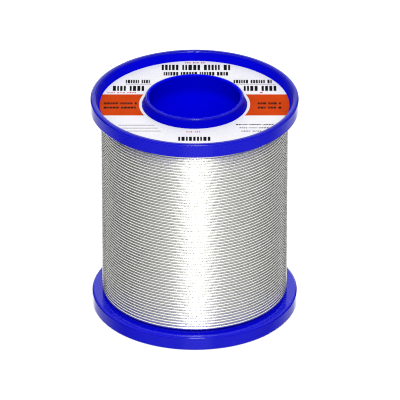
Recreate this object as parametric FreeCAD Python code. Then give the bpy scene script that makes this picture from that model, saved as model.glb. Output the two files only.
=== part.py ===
import FreeCAD, Part
import math
import os

from FreeCAD import Vector as V

# Solder wire spool, millimetres. +Z is the spool's axis, the origin is the centre of the
# plane that the lower rim stands on, and -Y is the side that faces the viewer.

# ---- driving dimensions -----------------------------------------------------------------
SPOOL_H = 78.4        # rest plane to upper rim
FLANGE_R = 35.0       # flange outer radius
FLANGE_T = 5.0        # end plane to the winding-side face
RECESS_D = 3.15       # depth of the label recess below the rim
RIM_IN_TOP = 33.15    # rim's inner radius at the end plane
RIM_IN_FOOT = 32.5    # the same at the recess floor (draft)
RIM_FOOT_FILLET = 0.25
RIM_ROUND_OUT = 0.7   # rounding of the rim's outer edge at the end plane
RIM_ROUND_WIND = 0.7  # and on the winding side
RIM_ROUND_IN = 0.65   # rounding of the rim's inner edge
COLLAR_R_LIP = 16.65  # tapered collar around the bore, at its lip
COLLAR_R_FOOT = 17.55 # and at the recess floor
COLLAR_ROUND = 0.55   # outer half of the lip's full bead
COLLAR_FOOT_FILLET = 0.1
HUB_R = 16.00         # hole in the flange that takes the barrel

BARREL_R_IN = 15.20   # bore
BARREL_R_OUT = 15.98  # 0.02 clearance in the hub
BARREL_ROUND_IN = 0.65 # inner half of the same bead
EDGE_BREAK = 0.08     # small edge break each side of the joint line at the lip

SNAP_Z = 2.75         # snap bead, measured from the end plane
SNAP_H = 0.66
SNAP_BEAD = 0.22
SNAP_GROOVE = 0.27

STOP_R = 17.0         # stop collar on the barrel that the flange seats against
STOP_T = 1.0
KEY_N = 4             # keys that stop the flange from turning on the barrel
KEY_W = 3.0
KEY_H = 1.0
KEY_CLEAR = 0.1

LABEL_R_IN = 17.7
LABEL_R_OUT = 31.85
LABEL_T = 0.1

WIRE_D = 1.0
WIRE_R = WIRE_D / 2
TURN_PITCH = 1.054
TURNS_OUT = 64        # turns in the outer layer, the last one included
TURN_R = 31.0         # centre radius of the outer layer
LAST_TURN_Z = 6.35    # centre height of the lowest, last turn
INNER_R_OUT = 30.45   # inner layers
INNER_R_IN = 16.15
INNER_GAP = 0.1       # winding to flange and to stop collar

TAKE_OFF_DEG = 118.0  # where the last turn leaves the winding, at the back
LAST_TURN_DEG = 342.0
END_HOLE_RAD = 31.5   # hole near the rim that holds the outer end
END_HOLE_R = 0.8
START_HOLE_RAD = 18.95  # hole beside the collar that holds the inner end
START_HOLE_R = 0.9
START_HOLE_DEG = 40.0
BEND_TOP_R = 1.3      # centre-line radius where the end turns down into its hole
BEND_LOW_R = 1.0      # and where it is folded flat under the web
FOLD_RUN = 7.5        # straight run along the recess
FOLD_GAP = 0.05       # wire to recess floor

CORE_R = 0.12         # three flux cores
CORE_OFFSET = 0.22
CORE_N = 3


# ---- helpers ----------------------------------------------------------------------------
def P(r, z):
    return V(r, 0, z)


def arc_about(cx, cz, r, a0, a1):
    """Arc in the XZ half plane about (cx, cz) from a0 to a1 degrees."""
    am = (a0 + a1) / 2
    pt = lambda a: P(cx + r * math.cos(math.radians(a)), cz + r * math.sin(math.radians(a)))
    return Part.Arc(pt(a0), pt(am), pt(a1)).toShape()


def line(a, b):
    return Part.LineSegment(a, b).toShape()


def profile(items):
    """Closed wire from points and arcs, joined by straight lines where they don't meet."""
    edges = []
    first = last = None
    for it in items:
        if isinstance(it, V):
            if last is not None and last.distanceToPoint(it) > 1e-6:
                edges.append(line(last, it))
            last = it
            first = first or it
        else:
            cx, cz, r, a0, a1 = it
            e = arc_about(cx, cz, r, a0, a1)
            s = P(cx + r * math.cos(math.radians(a0)), cz + r * math.sin(math.radians(a0)))
            t = P(cx + r * math.cos(math.radians(a1)), cz + r * math.sin(math.radians(a1)))
            if last is not None and last.distanceToPoint(s) > 1e-6:
                edges.append(line(last, s))
            edges.append(e)
            first = first or s
            last = t
    if last.distanceToPoint(first) > 1e-6:
        edges.append(line(last, first))
    return Part.Wire(Part.__sortEdges__(edges))


def revolved(items):
    face = Part.Face(profile(items))
    s = face.revolve(V(0, 0, 0), V(0, 0, 1), 360)
    if s.ShapeType != "Solid":
        s = Part.Solid(s.Shells[0]) if s.Shells else Part.Solid(Part.Shell(s.Faces))
    if s.Volume < 0:
        s.reverse()
    return s


def polar(r, deg, z=0.0):
    a = math.radians(deg)
    return V(r * math.cos(a), r * math.sin(a), z)


def flip(shape):
    """The same moulding turned over end for end, so that its lip is at the top."""
    s = shape.copy()
    s.rotate(V(0, 0, SPOOL_H / 2), V(1, 0, 0), 180)
    return s


def one_solid(s):
    return s.Solids[0] if len(s.Solids) == 1 else s


# ---- flange moulding --------------------------------------------------------------------
def flange_moulding():
    d = RECESS_D
    t = FLANGE_T
    foot = math.degrees(math.atan2(COLLAR_R_FOOT - COLLAR_R_LIP, d - COLLAR_ROUND - COLLAR_FOOT_FILLET))
    items = [
        P(HUB_R + EDGE_BREAK, 0),
        (COLLAR_R_LIP - COLLAR_ROUND, COLLAR_ROUND, COLLAR_ROUND, -90, 0),
        P(COLLAR_R_FOOT, d - COLLAR_FOOT_FILLET),
        (COLLAR_R_FOOT + COLLAR_FOOT_FILLET, d - COLLAR_FOOT_FILLET, COLLAR_FOOT_FILLET, 180, 90),
        (RIM_IN_FOOT - RIM_FOOT_FILLET, d - RIM_FOOT_FILLET, RIM_FOOT_FILLET, 90, 0),
        (RIM_IN_TOP + RIM_ROUND_IN, RIM_ROUND_IN, RIM_ROUND_IN, 180, 270),
        (FLANGE_R - RIM_ROUND_OUT, RIM_ROUND_OUT, RIM_ROUND_OUT, -90, 0),
        (FLANGE_R - RIM_ROUND_WIND, t - RIM_ROUND_WIND, RIM_ROUND_WIND, 0, 90),
        P(HUB_R, t),
        P(HUB_R, SNAP_Z + SNAP_H / 2 + 0.05),
        P(HUB_R + SNAP_GROOVE, SNAP_Z + 0.1),
        P(HUB_R + SNAP_GROOVE, SNAP_Z - 0.1),
        P(HUB_R, SNAP_Z - SNAP_H / 2 - 0.05),
        P(HUB_R, EDGE_BREAK),
    ]
    body = revolved(items)
    for i in range(KEY_N):
        w = KEY_W + 2 * KEY_CLEAR
        slot = Part.makeBox(4.0, w, KEY_H + KEY_CLEAR, V(STOP_R + KEY_CLEAR - 4.0, -w / 2, t - KEY_H - KEY_CLEAR))
        slot.rotate(V(0, 0, 0), V(0, 0, 1), 45 + i * 360.0 / KEY_N)
        body = body.cut(slot)
    return one_solid(body)


def barrel():
    t = FLANGE_T
    H = SPOOL_H

    def half():
        return [
            (BARREL_R_IN + BARREL_ROUND_IN, BARREL_ROUND_IN, BARREL_ROUND_IN, 180, 270),
            P(BARREL_R_OUT - EDGE_BREAK, 0),
            P(BARREL_R_OUT, EDGE_BREAK),
            P(BARREL_R_OUT, SNAP_Z - SNAP_H / 2),
            P(BARREL_R_OUT + SNAP_BEAD, SNAP_Z - 0.08),
            P(BARREL_R_OUT + SNAP_BEAD, SNAP_Z + 0.08),
            P(BARREL_R_OUT, SNAP_Z + SNAP_H / 2),
            P(BARREL_R_OUT, t),
            P(STOP_R, t),
            P(STOP_R, t + STOP_T - 0.3),
            P(STOP_R - 0.3, t + STOP_T),
            P(BARREL_R_OUT, t + STOP_T),
        ]

    lower = half()
    upper = []
    for it in reversed(half()):
        if isinstance(it, V):
            upper.append(P(it.x, H - it.z))
        else:
            cx, cz, r, a0, a1 = it
            upper.append((cx, H - cz, r, -a1, -a0))
    body = revolved(lower + upper)
    for i in range(KEY_N):
        for top in (False, True):
            ring = Part.makeCylinder(STOP_R, KEY_H, V(0, 0, t - KEY_H)).cut(
                Part.makeCylinder(BARREL_R_OUT - 0.3, KEY_H, V(0, 0, t - KEY_H))
            )
            blank = Part.makeBox(6.0, KEY_W, KEY_H, V(13.5, -KEY_W / 2, t - KEY_H))
            key = ring.common(blank)
            key.rotate(V(0, 0, 0), V(0, 0, 1), 45 + i * 360.0 / KEY_N)
            body = body.fuse(flip(key) if top else key)
    return one_solid(body.removeSplitter())


# ---- winding ----------------------------------------------------------------------------
def inner_layers():
    z0 = FLANGE_T + INNER_GAP
    z1 = SPOOL_H - z0
    s = STOP_T + INNER_GAP
    rs = STOP_R + 0.15
    return revolved([
        P(rs, z0), P(INNER_R_OUT, z0), P(INNER_R_OUT, z1), P(rs, z1),
        P(rs, z1 - s), P(INNER_R_IN, z1 - s), P(INNER_R_IN, z0 + s), P(rs, z0 + s),
    ])


def outer_layer():
    """The outer layer without its last turn: half round ridges on a thin sleeve."""
    n = TURNS_OUT - 1
    zc = [LAST_TURN_Z + TURN_PITCH * (k + 1) for k in range(n)]
    items = [P(TURN_R - WIRE_R, zc[0] - WIRE_R)]
    for z in zc:
        items.append((TURN_R, z, WIRE_R, -90, 90))
    items.append(P(TURN_R - WIRE_R, zc[-1] + WIRE_R))
    return revolved(items)


class Run:
    """A round wire with its flux cores, carried along straight runs and arcs."""

    def __init__(self, centre, direction, up):
        d = V(direction).normalize()
        u = V(up).normalize()
        w = d.cross(u)
        self.wire = []
        self.cores = [[] for _ in range(CORE_N)]
        self.pos = V(centre)
        self.dir = d
        self.length = 0.0
        outer = Part.Wire(Part.makeCircle(WIRE_R, centre, d))
        holes = []
        for i in range(CORE_N):
            a = 2 * math.pi * i / CORE_N + math.pi / 2
            c = V(centre) + u * (CORE_OFFSET * math.sin(a)) + w * (CORE_OFFSET * math.cos(a))
            holes.append(Part.Wire(Part.makeCircle(CORE_R, c, d)))
        self.core_faces = [Part.Face(h) for h in holes]
        face = Part.Face(outer)
        for f in self.core_faces:
            face = face.cut(f)
        self.face = face.Faces[0]

    def straight(self, length):
        v = self.dir * length
        self.wire.append(self.face.extrude(v))
        for c, f in zip(self.cores, self.core_faces):
            c.append(f.extrude(v))
        self.face = self.face.translated(v)
        self.core_faces = [f.translated(v) for f in self.core_faces]
        self.pos = self.pos + v
        self.length += length

    def arc(self, centre, axis, deg):
        """Turn about a line; deg is always positive, and axis gives the sense."""
        self.wire.append(self.face.revolve(centre, axis, deg))
        for c, f in zip(self.cores, self.core_faces):
            c.append(f.revolve(centre, axis, deg))
        rot = FreeCAD.Rotation(axis, deg)
        r = (self.pos - centre) - axis * ((self.pos - centre).dot(axis))
        self.length += math.radians(deg) * r.Length

        def turned(f):
            g = f.copy()
            g.rotate(centre, axis, deg)
            return g

        self.face = turned(self.face)
        self.core_faces = [turned(f) for f in self.core_faces]
        self.pos = centre + rot.multVec(self.pos - centre)
        self.dir = rot.multVec(self.dir)

    def bend_to(self, new_dir, radius, deg=90.0):
        """Bend from the present direction towards new_dir, which is square to it."""
        n = V(new_dir).normalize()
        axis = self.dir.cross(n).normalize()
        self.arc(self.pos + n * radius, axis, deg)

    def solids(self, parts):
        s = parts[0]
        for p in parts[1:]:
            s = s.fuse(p)
        s = s.removeSplitter()
        if len(s.Solids) != 1:
            raise RuntimeError("a run of wire came out in %d solids" % len(s.Solids))
        s = s.Solids[0]
        if s.Volume < 0:
            s.reverse()
        return s


def last_turn():
    a0 = TAKE_OFF_DEG + LAST_TURN_DEG
    start = polar(TURN_R, a0, LAST_TURN_Z)
    tangent = V(math.sin(math.radians(a0)), -math.cos(math.radians(a0)), 0)
    run = Run(start, tangent, V(0, 0, 1))
    run.arc(V(0, 0, LAST_TURN_Z), V(0, 0, -1), LAST_TURN_DEG)
    reach = math.sqrt(END_HOLE_RAD ** 2 - TURN_R ** 2)
    run.straight(reach - BEND_TOP_R)
    hole = run.pos + run.dir * BEND_TOP_R
    hole_deg = math.degrees(math.atan2(hole.y, hole.x))
    run.bend_to(V(0, 0, -1), BEND_TOP_R)
    low = RECESS_D - FOLD_GAP - WIRE_R
    run.straight(run.pos.z - (low + BEND_LOW_R))
    fold = polar(-1, hole_deg - 35)
    run.bend_to(fold, BEND_LOW_R)
    run.straight(FOLD_RUN)
    return run, hole_deg


def start_tail():
    start = polar(START_HOLE_RAD, START_HOLE_DEG, FLANGE_T + INNER_GAP)
    run = Run(start, V(0, 0, -1), polar(1, START_HOLE_DEG))
    low = RECESS_D - FOLD_GAP - WIRE_R
    run.straight(run.pos.z - (low + BEND_LOW_R))
    run.bend_to(polar(1, START_HOLE_DEG + 50), BEND_LOW_R)
    run.straight(FOLD_RUN)
    return run


# ---- build ------------------------------------------------------------------------------
os.makedirs("parts", exist_ok=True)
parts = {}

moulding = flange_moulding()
parts["upper_flange"] = flip(moulding)

end_run, end_hole_deg = last_turn()
start_run = start_tail()
lower = moulding
for rad, deg, r in ((END_HOLE_RAD, end_hole_deg, END_HOLE_R), (START_HOLE_RAD, START_HOLE_DEG, START_HOLE_R)):
    c = polar(rad, deg, RECESS_D - 1.0)
    lower = lower.cut(Part.makeCylinder(r, FLANGE_T - RECESS_D + 2.0, c))
parts["lower_flange"] = one_solid(lower)

parts["barrel_tube"] = barrel()

top = SPOOL_H - RECESS_D
parts["paper_label"] = revolved([
    P(LABEL_R_IN, top), P(LABEL_R_OUT, top), P(LABEL_R_OUT, top + LABEL_T), P(LABEL_R_IN, top + LABEL_T),
])

parts["wire_inner_layers"] = inner_layers()
parts["wire_outer_layer"] = outer_layer()
parts["wire_last_turn"] = end_run.solids(end_run.wire)
parts["wire_start_tail"] = start_run.solids(start_run.wire)
cores = [end_run.solids(c) for c in end_run.cores] + [start_run.solids(c) for c in start_run.cores]
parts["flux_cores"] = Part.makeCompound(cores)

for name, s in parts.items():
    for solid in s.Solids:
        if not solid.isValid() or not solid.isClosed() or solid.Volume <= 0:
            raise RuntimeError(name + " isn't a valid closed solid")
    s.exportStep("parts/%s.step" % name)
    b = s.BoundBox
    print("%-18s solids %d  volume %10.3f  x %.2f..%.2f y %.2f..%.2f z %.2f..%.2f" % (
        name, len(s.Solids), s.Volume, b.XMin, b.XMax, b.YMin, b.YMax, b.ZMin, b.ZMax))

section = math.pi * (WIRE_R ** 2 - CORE_N * CORE_R ** 2)
for name, run in (("wire_last_turn", end_run), ("wire_start_tail", start_run)):
    print("%s length %.2f  volume %.3f  section times length %.3f" % (
        name, run.length, parts[name].Volume, section * run.length))
print("outer end's hole at %.3f degrees, start hole at %.1f" % (end_hole_deg, START_HOLE_DEG))
print("outer end %s, start end %s" % (tuple(round(c, 3) for c in end_run.pos), tuple(round(c, 3) for c in start_run.pos)))
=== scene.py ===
import math

import bmesh
import bpy
import numpy as np
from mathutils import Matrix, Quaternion, Vector


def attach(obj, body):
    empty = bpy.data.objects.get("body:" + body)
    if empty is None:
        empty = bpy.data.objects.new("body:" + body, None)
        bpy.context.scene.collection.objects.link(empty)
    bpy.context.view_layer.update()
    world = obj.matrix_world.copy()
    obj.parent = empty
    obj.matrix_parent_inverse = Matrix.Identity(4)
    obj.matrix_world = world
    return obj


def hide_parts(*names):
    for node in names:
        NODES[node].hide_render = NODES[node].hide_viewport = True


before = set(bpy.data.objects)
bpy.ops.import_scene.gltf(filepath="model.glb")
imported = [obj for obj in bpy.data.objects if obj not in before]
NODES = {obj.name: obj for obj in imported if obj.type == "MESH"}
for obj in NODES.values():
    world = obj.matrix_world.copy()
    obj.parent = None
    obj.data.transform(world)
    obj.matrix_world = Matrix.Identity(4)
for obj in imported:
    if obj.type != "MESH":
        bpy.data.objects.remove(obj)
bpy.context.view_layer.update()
MM = 0.001
scene = bpy.context.scene

# ---- sizes, in millimetres, as in the CAD source ------------------------------------------
SPOOL_H = 78.4
FLANGE_R = 35.0
FLANGE_T = 5.0
RECESS_D = 3.15
LABEL_R_IN = 17.7
LABEL_R_OUT = 31.85
LABEL_T = 0.1
WIRE_R = 0.5
TURN_R = 31.0
TURN_PITCH = 1.054
TURNS_OUT = 64
LAST_TURN_Z = 6.35
STEP_OVER = 0.052        # share of a turn in which the wire steps up to the next one
TAKE_OFF_DEG = 118.0
END_HOLE_RAD = 31.5
BEND_TOP_R = 1.3
BEND_LOW_R = 1.0
FOLD_RUN = 7.5
FOLD_GAP = 0.05

# ---- light levels ---------------------------------------------------------------------------
LOW_FRONT, LOW_FLANK, LOW_BACK = 0.62, 0.03, 1.8   # what shiny parts see below the horizon
FAR_EDGE = 0.95                    # a bright strip, low beside and behind the object
TOP, ZENITH, SIDE = 1.22, 0.34, 0.04
BACK, DIM = 1.5, 0.02
TABLE = 1.25                       # the table's glow under the front softbox
SOFTBOX_DEG = 2.6                  # and how far to the right that stands

MOUTH_SHADE = 0.72                       # painted shade: how much darker the blue is painted in the bore's mouth
GROOVE_SHADE = 0.50, 0.10, 0.66          # painted shade on the wire's sides where the turns meet: where it begins and ends, and how grey

# ---- camera --------------------------------------------------------------------------------
F_PX = 5400.0            # focal length in pixels of the 400 pixel frame
CAM_DIST = 1830.5        # mm from the middle of the spool's axis
CAM_ELEV = 28.61         # degrees above the horizon
AIM_RIGHT = 1.824        # mm that the aim lies to the right of and above the axis' middle
AIM_UP = -0.414


def make_camera():
    e = math.radians(CAM_ELEV)
    back = Vector((0, -math.cos(e), math.sin(e)))
    up = Vector((0, math.sin(e), math.cos(e)))
    aim = Vector((AIM_RIGHT, 0, SPOOL_H / 2)) + up * AIM_UP
    data = bpy.data.cameras.new("camera")
    data.sensor_width = 36.0
    data.lens = F_PX * 36.0 / 400.0
    data.clip_start, data.clip_end = 0.05, 200.0
    cam = bpy.data.objects.new("camera", data)
    scene.collection.objects.link(cam)
    cam.location = (aim + back * CAM_DIST) * MM
    cam.rotation_mode = "QUATERNION"
    cam.rotation_quaternion = (-back).to_track_quat("-Z", "Y")
    scene.camera = cam


make_camera()


# ---- node helpers --------------------------------------------------------------------------
class Tree:
    """Short way to write a material's nodes."""

    def __init__(self, tree):
        self.t = tree
        self.t.nodes.clear()

    def add(self, kind, **settings):
        n = self.t.nodes.new(kind)
        for k, v in settings.items():
            setattr(n, k, v)
        return n

    def put(self, value, socket):
        if isinstance(value, bpy.types.NodeSocket):
            self.t.links.new(value, socket)
        elif value is not None:
            socket.default_value = value

    def math(self, op, a, b=None, c=None, clamp=False):
        n = self.add("ShaderNodeMath", operation=op, use_clamp=clamp)
        for v, s in zip((a, b, c), n.inputs):
            self.put(v, s)
        return n.outputs[0]

    def remap(self, v, a, b, c, d, smooth=False):
        n = self.add("ShaderNodeMapRange", interpolation_type="SMOOTHSTEP" if smooth else "LINEAR")
        for x, s in zip((v, a, b, c, d), n.inputs):
            self.put(x, s)
        return n.outputs[0]

    def mix(self, f, a, b, blend="MIX"):
        n = self.add("ShaderNodeMix", data_type="RGBA", blend_type=blend)
        self.put(f, n.inputs[0])
        self.put(a, n.inputs[6])
        self.put(b, n.inputs[7])
        return n.outputs[2]

    def noise(self, vec, scale, detail=2.0, rough=0.5, distort=0.0):
        n = self.add("ShaderNodeTexNoise")
        self.put(vec, n.inputs["Vector"])
        n.inputs["Scale"].default_value = scale
        n.inputs["Detail"].default_value = detail
        n.inputs["Roughness"].default_value = rough
        n.inputs["Distortion"].default_value = distort
        return n.outputs["Fac"]

    def mapping(self, vec, scale=(1, 1, 1), loc=(0, 0, 0)):
        n = self.add("ShaderNodeMapping")
        self.put(vec, n.inputs["Vector"])
        n.inputs["Scale"].default_value = scale
        n.inputs["Location"].default_value = loc
        return n.outputs[0]

    def bump(self, height, strength, distance, normal=None):
        n = self.add("ShaderNodeBump")
        self.put(height, n.inputs["Height"])
        n.inputs["Strength"].default_value = strength
        n.inputs["Distance"].default_value = distance
        if normal is not None:
            self.put(normal, n.inputs["Normal"])
        return n.outputs[0]

    def coords(self, which="Object"):
        return self.add("ShaderNodeTexCoord").outputs[which]

    def uv(self, name):
        return self.add("ShaderNodeUVMap", uv_map=name).outputs[0]


def material(name):
    m = bpy.data.materials.new(name)
    m.use_nodes = True
    t = Tree(m.node_tree)
    out = t.add("ShaderNodeOutputMaterial")
    p = t.add("ShaderNodeBsdfPrincipled")
    t.t.links.new(p.outputs[0], out.inputs[0])
    return m, t, p


# ---- materials -----------------------------------------------------------------------------
def blue_plastic(name, seed, blue=0.36, painted_light_blue=0.49, haze_weight=0.02, gloss=0.5):
    """Glossy moulded plastic: deep blue with faint flow shading, handling haze and a fine skin.
    The recesses' side walls are satin. They and the winding-side faces are painted a brighter blue, a painted light
    against their shade, and the blue in the bore's mouth and by the collar is painted darker, a painted shade."""
    m, t, p = material(name)
    co = t.mapping(t.coords(), loc=(seed * 0.37, seed * 0.11, 0))
    flow = t.noise(co, 55.0, 3.0, 0.55, 0.4)
    haze = t.noise(co, 160.0, 4.0, 0.6)
    fine = t.noise(co, 5200.0, 2.0, 0.5)
    soft = t.noise(co, 90.0, 1.0, 0.4)
    f = t.remap(flow, 0.3, 0.7, 0.0, 1.0)
    col = t.mix(f, (0.0007, 0.0007, blue * 0.94, 1), (0.0012, 0.0012, blue * 1.06, 1))
    painted_light_col = t.mix(f, (0.0003, 0.0003, painted_light_blue * 0.95, 1), (0.0006, 0.0006, painted_light_blue * 1.05, 1))
    sep = t.add("ShaderNodeSeparateXYZ")
    t.put(t.coords(), sep.inputs[0])
    x, y, z = sep.outputs
    r = t.math("SQRT", t.math("ADD", t.math("MULTIPLY", x, x), t.math("MULTIPLY", y, y)))
    ring = t.math("MULTIPLY", t.remap(r, 0.01648, 0.01662, 0.0, 1.0), t.remap(r, 0.03342, 0.03352, 1.0, 0.0))
    mid = t.math("ABSOLUTE", t.math("SUBTRACT", z, SPOOL_H / 2 * MM))
    deep = t.math("MULTIPLY", t.remap(mid, 0.03595, 0.03605, 0.0, 1.0), t.remap(mid, 0.03850, 0.03885, 1.0, 0.0))
    satin = t.math("MULTIPLY", ring, deep)
    inner_face = t.remap(mid, 0.03422, 0.03450, 1.0, 0.0)
    # painted light: the recess side walls and the winding-side faces are painted a brighter blue to make up for their
    # shade
    col = t.mix(t.math("MAXIMUM", satin, inner_face), col, painted_light_col)
    # painted shade: the bore's mouth and the collar wall are painted a darker blue
    mouth = t.math("MULTIPLY", t.remap(r, 0.01560, 0.01530, 0.0, 1.0), t.remap(mid, 0.0310, 0.0352, 0.0, 1.0, True))
    collar = t.math("MULTIPLY", satin, t.remap(r, 0.0210, 0.0200, 0.0, 0.4))
    t.put(t.mix(t.math("MAXIMUM", mouth, collar), col, (0.0002, 0.0002, blue * MOUTH_SHADE, 1)), p.inputs["Base Color"])
    rough = t.remap(haze, 0.35, 0.75, 0.13, 0.18, True)
    rough = t.math("ADD", rough, t.remap(mid, 0.03846, 0.03856, 0.0, 0.05))   # edges are worn a little duller
    rough = t.math("ADD", rough, t.math("MULTIPLY", satin, 0.40))
    t.put(rough, p.inputs["Roughness"])
    t.put(t.remap(satin, 0.0, 1.0, gloss, 0.03), p.inputs["Specular IOR Level"])
    p.inputs["IOR"].default_value = 1.3
    p.inputs["Sheen Weight"].default_value = haze_weight
    p.inputs["Sheen Roughness"].default_value = 0.4
    n = t.bump(soft, 0.25, 0.00006)
    n = t.bump(fine, 0.04, 0.000004, n)
    t.put(n, p.inputs["Normal"])
    return m


def solder(name, dull=0.0, uv=None):
    """Drawn solder: bright silver with draw marks along the wire, dull films and tiny nicks, and
    a painted shade, a greyer colour, on the sides where the turns touch each other."""
    m, t, p = material(name)
    co = t.coords()
    if uv:
        along = t.mapping(t.uv(uv), scale=(0.12, 9.0, 1.0))
        streak = t.noise(along, 1.6, 4.0, 0.6)
        slow = t.noise(t.mapping(t.uv(uv), scale=(0.035, 1.0, 1.0)), 1.0, 3.0, 0.55)
    else:
        streak = t.noise(t.mapping(co, scale=(1, 1, 6)), 900.0, 4.0, 0.6)
        slow = t.noise(co, 120.0, 3.0, 0.55)
    film = t.noise(co, 210.0, 4.0, 0.6, 0.3)
    grain = t.noise(co, 4200.0, 3.0, 0.6)
    bright = (0.95 - dull * 0.3, 0.947 - dull * 0.3, 0.915 - dull * 0.3, 1)
    dark = (0.80 - dull * 0.25, 0.797 - dull * 0.25, 0.765 - dull * 0.25, 1)
    f = t.remap(film, 0.35, 0.7, 0.0, 0.25, True)
    f = t.math("ADD", f, t.remap(slow, 0.4, 0.7, 0.0, 0.2))
    col = t.mix(f, bright, dark)
    if uv:
        around = t.add("ShaderNodeSeparateXYZ")
        t.put(t.uv(uv), around.inputs[0])
        # painted shade: the colour turns grey on the wire's sides where the turns meet
        out = t.math("COSINE", t.math("MULTIPLY", around.outputs[1], 2 * math.pi))
        touch = t.remap(out, GROOVE_SHADE[0], GROOVE_SHADE[1], 0.0, 1.0, True)
        col = t.mix(touch, col, (GROOVE_SHADE[2], GROOVE_SHADE[2], GROOVE_SHADE[2] * 0.96, 1))
    t.put(col, p.inputs["Base Color"])
    p.inputs["Metallic"].default_value = 1.0
    r = t.remap(streak, 0.3, 0.7, 0.278 + dull * 0.18, 0.305 + dull * 0.18)
    r = t.math("ADD", r, t.remap(film, 0.45, 0.75, 0.0, 0.04))
    t.put(r, p.inputs["Roughness"])
    n = t.bump(streak, 0.05, 0.00001)
    n = t.bump(grain, 0.03, 0.000004, n)
    t.put(n, p.inputs["Normal"])
    return m


def paper(name, ink=None, ink_rough=0.4):
    """Coated label paper, bare or under a printed ink: fibres, faint mottling and a soft sheen."""
    m, t, p = material(name)
    co = t.coords()
    fibre = t.noise(t.mapping(co, scale=(1.0, 2.2, 1.0)), 1500.0, 5.0, 0.65)
    mottle = t.noise(co, 130.0, 4.0, 0.6)
    if ink is None:
        a, b = (0.655, 0.652, 0.685, 1), (0.70, 0.697, 0.72, 1)
    else:
        a = tuple(c * 0.9 for c in ink) + (1,)
        b = tuple(min(1, c * 1.06 + 0.002) for c in ink) + (1,)
    t.put(t.mix(t.remap(mottle, 0.3, 0.7, 0, 1), a, b), p.inputs["Base Color"])
    t.put(t.remap(fibre, 0.3, 0.7, ink_rough - 0.06, ink_rough + 0.08), p.inputs["Roughness"])
    p.inputs["IOR"].default_value = 1.35 if ink is None else 1.12
    p.inputs["Specular IOR Level"].default_value = 0.25 if ink is None else 0.05
    t.put(t.bump(fibre, 0.18, 0.00001), p.inputs["Normal"])
    return m


def flux_resin(name):
    m, t, p = material(name)
    n1 = t.noise(t.coords(), 2500.0, 3.0)
    t.put(t.mix(n1, (0.42, 0.2, 0.04, 1), (0.62, 0.36, 0.1, 1)), p.inputs["Base Color"])
    t.put(t.remap(n1, 0.3, 0.7, 0.15, 0.35), p.inputs["Roughness"])
    p.inputs["IOR"].default_value = 1.53
    return m


def set_material(obj, mat):
    obj.data.materials.clear()
    obj.data.materials.append(mat)


# ---- mesh helpers --------------------------------------------------------------------------
def mesh_object(name, verts, faces, smooth=True, sharp_deg=40.0):
    me = bpy.data.meshes.new(name)
    me.from_pydata([tuple(v) for v in verts], [], faces)
    me.validate()
    bm = bmesh.new()
    bm.from_mesh(me)
    bmesh.ops.recalc_face_normals(bm, faces=bm.faces[:])
    bm.to_mesh(me)
    bm.free()
    for poly in me.polygons:
        poly.use_smooth = smooth
    if smooth:
        me.set_sharp_from_angle(angle=math.radians(sharp_deg))
    obj = bpy.data.objects.new(name, me)
    scene.collection.objects.link(obj)
    return obj


def lathe(name, profile, segs):
    """Closed ring from a closed profile of (radius, height) points in millimetres."""
    pr = np.array(profile, float) * MM
    n = len(pr)
    a = np.linspace(0, 2 * np.pi, segs, endpoint=False)
    v = np.empty((segs, n, 3))
    v[:, :, 0] = pr[None, :, 0] * np.cos(a)[:, None]
    v[:, :, 1] = pr[None, :, 0] * np.sin(a)[:, None]
    v[:, :, 2] = pr[None, :, 1]
    faces = []
    for i in range(segs):
        j = (i + 1) % segs
        for k in range(n):
            l = (k + 1) % n
            faces.append((i * n + k, j * n + k, j * n + l, i * n + l))
    return mesh_object(name, v.reshape(-1, 3), faces)


def sweep(name, path, radius, sides, uv_name, wound):
    """Round wire along a path of points in millimetres, with flat cut ends and a UV map of
    (millimetres along, share around). Over its wound points the share counts from the outside."""
    pts = np.array(path, float)
    n = len(pts)
    tan = np.gradient(pts, axis=0)
    tan /= np.linalg.norm(tan, axis=1)[:, None]
    u = np.empty_like(pts)
    first = pts[0] * (1, 1, 0)
    first -= tan[0] * first.dot(tan[0])
    u[0] = first / np.linalg.norm(first)
    for i in range(1, n):
        w = pts[i] * (1, 1, 0) if i < wound else u[i - 1]
        w = w - tan[i] * w.dot(tan[i])
        u[i] = w / np.linalg.norm(w)
    w = np.cross(tan, u)
    a = np.linspace(0, 2 * np.pi, sides, endpoint=False)
    ring = pts[:, None, :] + radius * (
        u[:, None, :] * np.cos(a)[None, :, None] + w[:, None, :] * np.sin(a)[None, :, None]
    )
    verts = list(ring.reshape(-1, 3) * MM)
    run = np.concatenate([[0], np.cumsum(np.linalg.norm(np.diff(pts, axis=0), axis=1))])
    faces, uvs = [], []
    for i in range(n - 1):
        for k in range(sides):
            l = (k + 1) % sides
            faces.append((i * sides + k, i * sides + l, (i + 1) * sides + l, (i + 1) * sides + k))
            uvs += [(run[i], k / sides), (run[i], (k + 1) / sides), (run[i + 1], (k + 1) / sides), (run[i + 1], k / sides)]
    for end, i in ((0, 0), (1, n - 1)):
        c = len(verts)
        verts.append(pts[i] * MM)
        for k in range(sides):
            l = (k + 1) % sides
            tri = (c, i * sides + l, i * sides + k) if end == 0 else (c, i * sides + k, i * sides + l)
            faces.append(tri)
            uvs += [(run[i], 0.5), (run[i] + 0.3, (l if end == 0 else k) / sides), (run[i] + 0.3, (k if end == 0 else l) / sides)]
    me = bpy.data.meshes.new(name)
    me.from_pydata([tuple(v) for v in verts], [], faces)
    layer = me.uv_layers.new(name=uv_name)
    layer.data.foreach_set("uv", np.array(uvs, np.float32).ravel())
    for poly in me.polygons:
        poly.use_smooth = True
    me.set_sharp_from_angle(angle=math.radians(50))
    obj = bpy.data.objects.new(name, me)
    scene.collection.objects.link(obj)
    return obj


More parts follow.
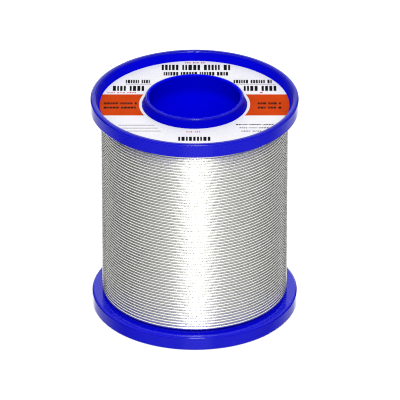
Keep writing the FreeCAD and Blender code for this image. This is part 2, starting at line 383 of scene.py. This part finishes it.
# ---- winding -------------------------------------------------------------------------------
def wobble(s, seed, terms=6):
    """Smooth, repeatable unevenness in -1 to 1 along a run s."""
    rng = np.random.default_rng(seed)
    out = np.zeros_like(s)
    total = 0.0
    for k in range(terms):
        f = rng.uniform(0.35, 1.0) * 1.9 ** k
        a = 1.0 / (1 + k)
        out += a * np.sin(f * s + rng.uniform(0, 2 * np.pi))
        total += a
    return out / total


def bend_points(pos, direction, new_dir, radius, steps=10):
    n = Vector(new_dir).normalized()
    centre = pos + n * radius
    axis = direction.cross(n).normalized()
    out = []
    for i in range(1, steps + 1):
        q = Quaternion(axis, math.radians(90.0 * i / steps))
        out.append(centre + q @ (pos - centre))
    q = Quaternion(axis, math.radians(90.0))
    return out, q @ direction


def outer_wire_path(per_turn=96):
    """From under the upper flange, down the outer layer, to the folded end below the web."""
    turns = TURNS_OUT - 0.05
    n = int(turns * per_turn)
    s = np.linspace(0, turns, n + 1)                 # turns still to go, counted from the take-off
    s = s[::-1]
    ang = np.radians(TAKE_OFF_DEG) + 2 * np.pi * s
    step = np.clip((s - np.floor(s) - (1 - STEP_OVER)) / STEP_OVER, 0, 1)
    z = LAST_TURN_Z + TURN_PITCH * (np.floor(s) + step * step * (3 - 2 * step))
    fade = np.clip(s / 0.4, 0, 1)
    th = 2 * np.pi * s
    z = z + 0.019 * wobble(th * 0.31, 3) * fade
    r = TURN_R + 0.014 * wobble(th * 0.43, 7) * fade - 0.006
    top = np.clip((s - (turns - 0.12)) / 0.12, 0, 1)  # the wire rises out of the layer below
    r = r - 0.75 * top * top
    z = np.minimum(z, SPOOL_H - FLANGE_T - WIRE_R - 0.03)
    pts = [Vector((float(a), float(b), float(c))) for a, b, c in zip(r * np.cos(ang), r * np.sin(ang), z)]
    a0 = math.radians(TAKE_OFF_DEG)
    direction = Vector((math.sin(a0), -math.cos(a0), 0))
    pos = Vector((TURN_R * math.cos(a0), TURN_R * math.sin(a0), LAST_TURN_Z))
    pts[-1] = pos.copy()
    reach = math.sqrt(END_HOLE_RAD ** 2 - TURN_R ** 2) - BEND_TOP_R
    for i in range(1, 13):
        pts.append(pos + direction * (reach * i / 12))
    pos = pts[-1]
    hole = pos + direction * BEND_TOP_R
    bend, direction = bend_points(pos, direction, (0, 0, -1), BEND_TOP_R)
    pts += bend
    pos = pts[-1]
    low = RECESS_D - FOLD_GAP - WIRE_R
    drop = pos.z - (low + BEND_LOW_R)
    for i in range(1, 5):
        pts.append(pos + direction * (drop * i / 4))
    pos = pts[-1]
    fold = math.atan2(hole.y, hole.x) - math.radians(35)
    bend, direction = bend_points(pos, direction, (-math.cos(fold), -math.sin(fold), 0), BEND_LOW_R)
    pts += bend
    pos = pts[-1]
    for i in range(1, 13):
        pts.append(pos + direction * ((FOLD_RUN - 0.03) * i / 12))
    return [tuple(p) for p in pts], n


def inner_profile():
    """The layers under the outer one: round turns outside, plain inside."""
    z0, z1 = FLANGE_T + 0.1, SPOOL_H - FLANGE_T - 0.1
    rs, ri = 17.15, 16.15
    pts = [(ri, z0 + 1.1), (rs, z0 + 1.1), (rs, z0), (29.6, z0)]
    z = FLANGE_T + 0.1 + WIRE_R
    while z + WIRE_R < z1 + 1e-6:
        for k in range(0, 7):
            a = math.radians(-90 + 30 * k)
            pts.append((29.95 + WIRE_R * math.cos(a), z + WIRE_R * math.sin(a)))
        z += TURN_PITCH
    pts += [(29.6, z1), (rs, z1), (rs, z1 - 1.1), (ri, z1 - 1.1)]
    return pts


wire_path, wound_points = outer_wire_path()
outer = sweep("wound_wire_outer_layer", wire_path, WIRE_R, 14, "wire_run", wound_points)
set_material(outer, solder("solder_outer", 0.0, "wire_run"))
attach(outer, "root")
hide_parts("wire_outer_layer", "wire_last_turn")

inner = lathe("wound_wire_inner_layers", inner_profile(), 128)
set_material(inner, solder("solder_inner", 0.5))
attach(inner, "root")
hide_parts("wire_inner_layers")

set_material(NODES["wire_start_tail"], solder("solder_start", 0.25))
set_material(NODES["flux_cores"], flux_resin("flux_amber"))

# ---- plastic -------------------------------------------------------------------------------
set_material(NODES["upper_flange"], blue_plastic("blue_upper", 1))
set_material(NODES["lower_flange"], blue_plastic("blue_lower", 2))
# the bore tube's blue is painted brighter throughout, a painted light for the little light that reaches into the bore
set_material(NODES["barrel_tube"], blue_plastic("blue_barrel", 3, 0.655, 0.655, 0.0, 0.02))

# ---- label ---------------------------------------------------------------------------------
BAND = 7.65             # half width of the stripe
BAND_Y = -0.45          # and its middle
BAND_R_IN = 18.65       # the stripe stops at a white ring round the collar


def label_mesh():
    """A thin ring cut along the stripe's edges, so that the ink has its own faces."""
    rings = [LABEL_R_IN, BAND_R_IN] + list(np.linspace(BAND_R_IN, LABEL_R_OUT, 15)[1:])
    segs = 240
    bm = bmesh.new()
    z1 = SPOOL_H - RECESS_D + LABEL_T
    z0 = z1 - LABEL_T * 0.9
    grid = []
    for r in rings:
        row = []
        for i in range(segs):
            a = 2 * math.pi * i / segs
            row.append(bm.verts.new((r * math.cos(a) * MM, r * math.sin(a) * MM, z1 * MM)))
        grid.append(row)
    top = []
    for k in range(len(rings) - 1):
        for i in range(segs):
            j = (i + 1) % segs
            top.append(bm.faces.new((grid[k][i], grid[k + 1][i], grid[k + 1][j], grid[k][j])))
    for y in (BAND_Y + BAND, BAND_Y - BAND):
        geom = bm.verts[:] + bm.edges[:] + bm.faces[:]
        bmesh.ops.bisect_plane(bm, geom=geom, plane_co=(0, y * MM, 0), plane_no=(0, 1, 0))
    for f in bm.faces:
        c = f.calc_center_median()
        r = math.hypot(c.x, c.y) / MM
        f.material_index = 1 if abs(c.y - BAND_Y * MM) < BAND * MM and r > BAND_R_IN else 0
    top = bm.faces[:]
    ext = bmesh.ops.extrude_face_region(bm, geom=top)
    moved = [g for g in ext["geom"] if isinstance(g, bmesh.types.BMVert)]
    for v in moved:
        v.co.z = z1 * MM
    low = [v for v in bm.verts if v not in set(moved)]
    for v in low:
        v.co.z = z0 * MM
    bmesh.ops.recalc_face_normals(bm, faces=bm.faces[:])
    for f in bm.faces:
        if f.normal.z < 0.5:
            f.material_index = 0
    me = bpy.data.meshes.new("printed_label")
    bm.to_mesh(me)
    bm.free()
    obj = bpy.data.objects.new("printed_label", me)
    scene.collection.objects.link(obj)
    return obj


# Rows of plain ink marks: x from, x to, y from, y to, ink (2 black, 3 crimson), thinnest and
# widest mark, marks to a group. They are strokes and rules only, and spell nothing.
ROWS = [
    (-11.2, 12.1, 25.0, 29.0, 2, 0.55, 1.25, 5),
    (-10.5, 11.4, 21.0, 23.7, 2, 0.40, 0.95, 6),
    (-3.2, 3.4, 30.0, 30.9, 3, 0.30, 0.60, 3),
    (-23.3, -14.7, 15.3, 17.9, 2, 0.35, 0.80, 6),
    (-23.4, -14.6, 14.5, 14.75, 2, 9.0, 9.0, 1),
    (-27.6, -17.0, 9.7, 13.4, 2, 0.45, 1.10, 4),
    (-29.4, -19.2, 8.05, 8.75, 3, 0.30, 0.70, 4),
    (13.2, 27.2, 15.3, 17.9, 2, 0.35, 0.80, 6),
    (13.0, 27.3, 14.5, 14.75, 2, 15.0, 15.0, 1),
    (16.6, 28.9, 9.7, 13.4, 2, 0.45, 1.10, 4),
    (22.0, 23.0, 8.05, 8.75, 3, 1.0, 1.0, 1),
    (-30.4, -19.4, -0.10, 1.35, 2, 0.45, 1.00, 5),
    (-30.4, -19.4, -3.15, -1.70, 2, 0.45, 1.00, 5),
    (21.2, 29.5, -0.10, 1.35, 2, 0.45, 1.00, 3),
    (21.2, 29.5, -3.15, -1.70, 2, 0.45, 1.00, 3),
    (-25.4, -13.2, -15.2, -14.9, 2, 13.0, 13.0, 1),
    (-24.2, -12.2, -17.3, -17.0, 2, 13.0, 13.0, 1),
    (-22.6, -11.2, -19.4, -19.1, 2, 13.0, 13.0, 1),
    (13.9, 26.4, -15.0, -14.2, 2, 0.30, 0.70, 5),
    (15.0, 25.4, -17.3, -16.6, 2, 0.30, 0.70, 4),
    (15.6, 23.2, -19.6, -18.9, 2, 0.30, 0.70, 4),
    (-2.7, 2.9, -20.2, -19.5, 3, 0.30, 0.60, 3),
    (-5.4, 5.3, -26.2, -23.3, 2, 0.50, 1.10, 9),
]


def print_marks(obj):
    """Adds the ink to the label as its own very thin closed slabs."""
    z0, z1 = SPOOL_H - RECESS_D + LABEL_T - 0.01, SPOOL_H - RECESS_D + LABEL_T + 0.012
    bm = bmesh.new()
    bm.from_mesh(obj.data)
    rng = np.random.default_rng(20)

    def slab(xa, xb, ya, yb, mat):
        c = min(0.12, (xb - xa) * 0.3, (yb - ya) * 0.3)
        flat = [(xa + c, ya), (xb - c, ya), (xb, ya + c), (xb, yb - c), (xb - c, yb), (xa + c, yb), (xa, yb - c), (xa, ya + c)]
        if max(math.hypot(x, y) for x, y in flat) > LABEL_R_OUT - 0.15 or min(math.hypot(x, y) for x, y in flat) < LABEL_R_IN + 0.1:
            return
        lo = [bm.verts.new((x * MM, y * MM, z0 * MM)) for x, y in flat]
        hi = [bm.verts.new((x * MM, y * MM, z1 * MM)) for x, y in flat]
        faces = [bm.faces.new(hi), bm.faces.new(list(reversed(lo)))]
        for i in range(8):
            j = (i + 1) % 8
            faces.append(bm.faces.new((lo[i], lo[j], hi[j], hi[i])))
        for f in faces:
            f.material_index = mat

    for xa, xb, ya, yb, mat, wa, wb, group in ROWS:
        if wa > xb - xa - 0.5:
            slab(xa, xb, ya, yb, mat)
            continue
        x, k = xa, 0
        while x < xb - wa:
            w = float(rng.uniform(wa, wb))
            w = min(w, xb - x)
            slab(x, x + w, ya, yb, mat)
            k += 1
            x += w + (0.42 if wb > 1.0 else 0.28)
            if k % group == 0:
                x += 0.9 if wb > 1.0 else 0.6
    bm.to_mesh(obj.data)
    bm.free()


label = label_mesh()
print_marks(label)
label.data.materials.append(paper("label_white"))
label.data.materials.append(paper("label_orange", (0.50, 0.044, 0.002), 0.36))
label.data.materials.append(paper("ink_black", (0.006, 0.006, 0.007), 0.45))
label.data.materials.append(paper("ink_crimson", (0.42, 0.012, 0.06), 0.45))
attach(label, "root")
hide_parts("paper_label")

# ---- floor and light -----------------------------------------------------------------------
def make_floor():
    n, rings = 96, [0.0, 0.25, 1.0, 4.0, 40.0]
    verts, faces = [(0, 0, 0)], []
    for r in rings[1:]:
        verts += [(r * math.cos(2 * math.pi * i / n), r * math.sin(2 * math.pi * i / n), 0) for i in range(n)]
    for i in range(n):
        faces.append((0, 1 + i, 1 + (i + 1) % n))
    for k in range(1, len(rings) - 1):
        a, b = 1 + (k - 1) * n, 1 + k * n
        for i in range(n):
            j = (i + 1) % n
            faces.append((a + i, b + i, b + j, a + j))
    me = bpy.data.meshes.new("floor")
    me.from_pydata(verts, [], faces)
    obj = bpy.data.objects.new("floor", me)
    scene.collection.objects.link(obj)
    obj.location.z = -0.00002
    m, t, p = material("floor_white")
    g = t.noise(t.coords(), 14.0, 2.0)
    t.put(t.mix(g, (0.86, 0.86, 0.86, 1), (0.88, 0.88, 0.88, 1)), p.inputs["Base Color"])
    p.inputs["Roughness"].default_value = 0.9
    p.inputs["Specular IOR Level"].default_value = 0.1
    p.inputs["Emission Color"].default_value = (1, 1, 1, 1)
    p.inputs["Emission Strength"].default_value = 0.3
    me.materials.append(m)
    obj.visible_glossy = False


def make_backdrop():
    """A pale dome, seen by the camera only, so that a low view has no dark horizon."""
    n, steps, rad = 72, 14, 4.0
    verts, faces = [], []
    for k in range(steps):
        a = math.radians(-0.01 + 89.0 * k / (steps - 1))
        verts += [(rad * math.cos(a) * math.cos(2 * math.pi * i / n), rad * math.cos(a) * math.sin(2 * math.pi * i / n),
                   rad * math.sin(a)) for i in range(n)]
    for k in range(steps - 1):
        for i in range(n):
            j = (i + 1) % n
            faces.append((k * n + i, (k + 1) * n + i, (k + 1) * n + j, k * n + j))
    faces.append(tuple((steps - 1) * n + n - 1 - i for i in range(n)))
    me = bpy.data.meshes.new("backdrop")
    me.from_pydata(verts, [], faces)
    obj = bpy.data.objects.new("backdrop", me)
    scene.collection.objects.link(obj)
    m, t, p = material("backdrop_white")
    g = t.noise(t.coords(), 0.4, 2.0)
    p.inputs["Base Color"].default_value = (0, 0, 0, 1)
    p.inputs["Specular IOR Level"].default_value = 0.0
    t.put(t.mix(g, (0.985, 0.985, 0.985, 1), (1, 1, 1, 1)), p.inputs["Emission Color"])
    p.inputs["Emission Strength"].default_value = 1.0
    me.materials.append(m)
    obj.visible_glossy = obj.visible_diffuse = obj.visible_transmission = False
    obj.visible_volume_scatter = obj.visible_shadow = False


def area(name, loc, target, size, size_y, power):
    data = bpy.data.lights.new(name, "AREA")
    data.shape = "RECTANGLE"
    data.size, data.size_y = size, size_y
    data.energy = power
    obj = bpy.data.objects.new(name, data)
    scene.collection.objects.link(obj)
    obj.location = loc
    d = Vector(target) - Vector(loc)
    obj.rotation_mode = "QUATERNION"
    obj.rotation_quaternion = d.to_track_quat("-Z", "Y")
    obj.visible_camera = False
    return obj


make_floor()
make_backdrop()
world = bpy.data.worlds.new("studio")
world.use_nodes = True
scene.world = world
wt = Tree(world.node_tree)
wo = wt.add("ShaderNodeOutputWorld")
bg = wt.add("ShaderNodeBackground")
wt.t.links.new(bg.outputs[0], wo.inputs[0])
# a room that is dim below and around the horizon in front and at the sides, bright above, and
# has a white wall behind the object
sep = wt.add("ShaderNodeSeparateXYZ")
wt.t.links.new(wt.coords("Generated"), sep.inputs[0])
dx, dy, dz = sep.outputs
el = wt.math("MULTIPLY", wt.math("ARCSINE", dz), 57.29578)
flat = wt.math("SQRT", wt.math("ADD", wt.math("MULTIPLY", dx, dx), wt.math("MULTIPLY", dy, dy)))
toward = wt.math("DIVIDE", dy, wt.math("MAXIMUM", flat, 0.001))
skew = wt.math("SUBTRACT", toward, wt.math("MULTIPLY", dx, 0.18))
low = wt.math("MAXIMUM", wt.remap(skew, -0.75, 0.30, LOW_FRONT, LOW_FLANK),
              wt.remap(toward, 0.75, 0.98, 0.0, LOW_BACK, True))
low = wt.math("MULTIPLY", wt.remap(el, -6.0, -20.0, 0.0, 1.0, True), low)
edge = wt.math("MULTIPLY", wt.remap(el, -24.0, -27.0, 0.0, 1.0, True), wt.remap(el, -33.0, -30.0, 0.0, 1.0, True))
edge = wt.math("MULTIPLY", edge, wt.remap(toward, -0.2, 0.6, 0.0, FAR_EDGE))
low = wt.math("MAXIMUM", low, edge)
top = wt.math("MULTIPLY", wt.remap(el, 14.0, 26.0, 0.0, 1.0, True), wt.remap(el, 50.0, 70.0, TOP, ZENITH, True))
top = wt.math("MULTIPLY", top, wt.math("ADD", wt.math("MULTIPLY", dx, SIDE), 1.0))
top = wt.math("MULTIPLY", top, wt.remap(toward, -0.1, 0.5, 1.0, 0.90, True))
top = wt.math("MULTIPLY", top, wt.remap(toward, 0.8, 0.95, 1.0, 0.38, True))
wall = wt.math("MULTIPLY", wt.remap(toward, 0.86, 0.975, 0.0, BACK, True),
               wt.remap(el, 42.0, 55.0, 1.0, 0.0, True))
sa = math.radians(SOFTBOX_DEG)
front = wt.math("SUBTRACT", wt.math("MULTIPLY", dx, math.sin(sa)), wt.math("MULTIPLY", dy, math.cos(sa)))
front = wt.math("DIVIDE", front, wt.math("MAXIMUM", flat, 0.001))
table = wt.math("MULTIPLY", wt.remap(front, math.cos(math.radians(26)), math.cos(math.radians(8)), 0.0, TABLE, True),
                wt.remap(el, 30.0, -10.0, 0.0, 1.0, True))
val = wt.math("ADD", wt.math("MAXIMUM", wt.math("MAXIMUM", low, top), wt.math("MAXIMUM", wall, table)), DIM)
wt.t.links.new(val, bg.inputs[1])
bg.inputs[0].default_value = (1.0, 1.0, 1.0, 1)

area("front_softbox", (0.98 * math.tan(sa), -0.98, 0.90), (0, 0, 0.04), 0.27, 0.46, 13.2)

scene.cycles.filter_width = 1.1        # the turns are under three pixels apart
scene.cycles.denoising_input_passes = "RGB"   # with guides the denoiser melts them together
scene.view_settings.view_transform = "Standard"
scene.view_settings.look = "None"
